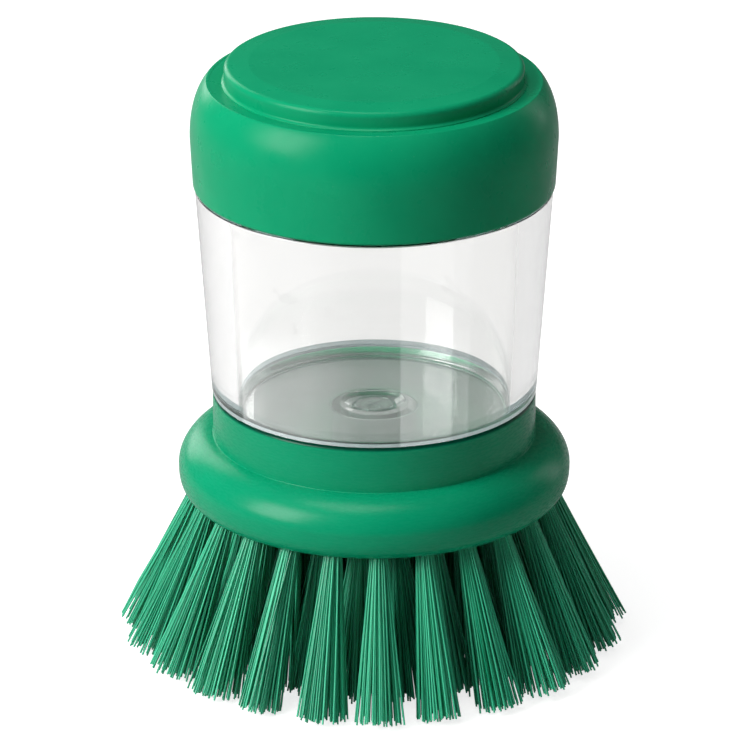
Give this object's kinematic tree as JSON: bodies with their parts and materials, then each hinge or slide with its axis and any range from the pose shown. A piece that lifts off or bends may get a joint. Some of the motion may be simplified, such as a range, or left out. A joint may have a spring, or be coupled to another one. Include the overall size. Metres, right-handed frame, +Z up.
{
  "type": "soap-dispensing brush",
  "caption": "Round palm-held dish brush: splayed tufts in a green head, a clear screw-on soap container with a bottom valve, and a pull-off rubber cap with a press button.",
  "frame": {"origin": "on the axis of the brush, level with the tips of the bristles that it stands on", "axes": "+Z up along the axis, from the bristles to the button; -Y is the front, as in the picture"},
  "size_m": [0.0852, 0.0852, 0.1005],
  "materials": {
    "green_plastic": "satin moulded polypropylene, green",
    "green_rubber": "soft matte moulded rubber, green",
    "clear_plastic": "clear polished moulded plastic",
    "clear_silicone": "see-through soft silicone",
    "seal_rubber": "plain rubber, dark green",
    "green_bristle": "glossy drawn plastic filament, green"
  },
  "bodies": {
    "head": {"brush_head": "green_plastic", "outer_tuft_01": "green_bristle", "outer_tuft_02": "green_bristle", "outer_tuft_03": "green_bristle", "outer_tuft_04": "green_bristle", "outer_tuft_05": "green_bristle", "outer_tuft_06": "green_bristle", "outer_tuft_07": "green_bristle", "outer_tuft_08": "green_bristle", "outer_tuft_09": "green_bristle", "outer_tuft_10": "green_bristle", "outer_tuft_11": "green_bristle", "outer_tuft_12": "green_bristle", "outer_tuft_13": "green_bristle", "outer_tuft_14": "green_bristle", "outer_tuft_15": "green_bristle", "outer_tuft_16": "green_bristle", "outer_tuft_17": "green_bristle", "outer_tuft_18": "green_bristle", "outer_tuft_19": "green_bristle", "outer_tuft_20": "green_bristle", "outer_tuft_21": "green_bristle", "outer_tuft_22": "green_bristle", "outer_tuft_23": "green_bristle", "outer_tuft_24": "green_bristle", "middle_tuft_01": "green_bristle", "middle_tuft_02": "green_bristle", "middle_tuft_03": "green_bristle", "middle_tuft_04": "green_bristle", "middle_tuft_05": "green_bristle", "middle_tuft_06": "green_bristle", "middle_tuft_07": "green_bristle", "middle_tuft_08": "green_bristle", "middle_tuft_09": "green_bristle", "middle_tuft_10": "green_bristle", "middle_tuft_11": "green_bristle", "middle_tuft_12": "green_bristle", "middle_tuft_13": "green_bristle", "middle_tuft_14": "green_bristle", "middle_tuft_15": "green_bristle", "middle_tuft_16": "green_bristle", "middle_tuft_17": "green_bristle", "middle_tuft_18": "green_bristle", "middle_tuft_19": "green_bristle", "middle_tuft_20": "green_bristle", "middle_tuft_21": "green_bristle", "middle_tuft_22": "green_bristle", "middle_tuft_23": "green_bristle", "middle_tuft_24": "green_bristle", "inner_tufts_1": "green_bristle", "inner_tufts_2": "green_bristle", "inner_tufts_3": "green_bristle", "inner_tufts_4": "green_bristle"},
    "seal": {"neck_seal": "seal_rubber"},
    "tumbler": {"container": "clear_plastic", "outlet_valve": "clear_silicone", "valve_retainer": "clear_plastic"},
    "cap": {"cap_skirt": "green_rubber", "flex_web": "green_rubber"},
    "button": {"press_button": "green_rubber"}
  },
  "joints": [
    {"name": "container_rise", "type": "slide", "parent": "head", "child": "seal", "axis": [0, 0, 1], "range_m": [0, 0.006]},
    {"name": "container_turn", "type": "hinge", "parent": "seal", "child": "tumbler", "pos_m": [0, 0, 0.044], "axis": [0, 0, 1], "range_deg": [0, 270]},
    {"name": "cap_lift", "type": "slide", "parent": "tumbler", "child": "cap", "axis": [0, 0, 1], "range_m": [0, 0.03]},
    {"name": "button_press", "type": "slide", "parent": "cap", "child": "button", "axis": [0, 0, -1], "range_m": [0, 0.004], "stiffness_N_per_m": 1500, "deforming": ["flex_web"]}
  ],
  "couplings": [
    {"joint": "container_rise", "follows": "container_turn", "m_per_rad": 0.001273}
  ]
}
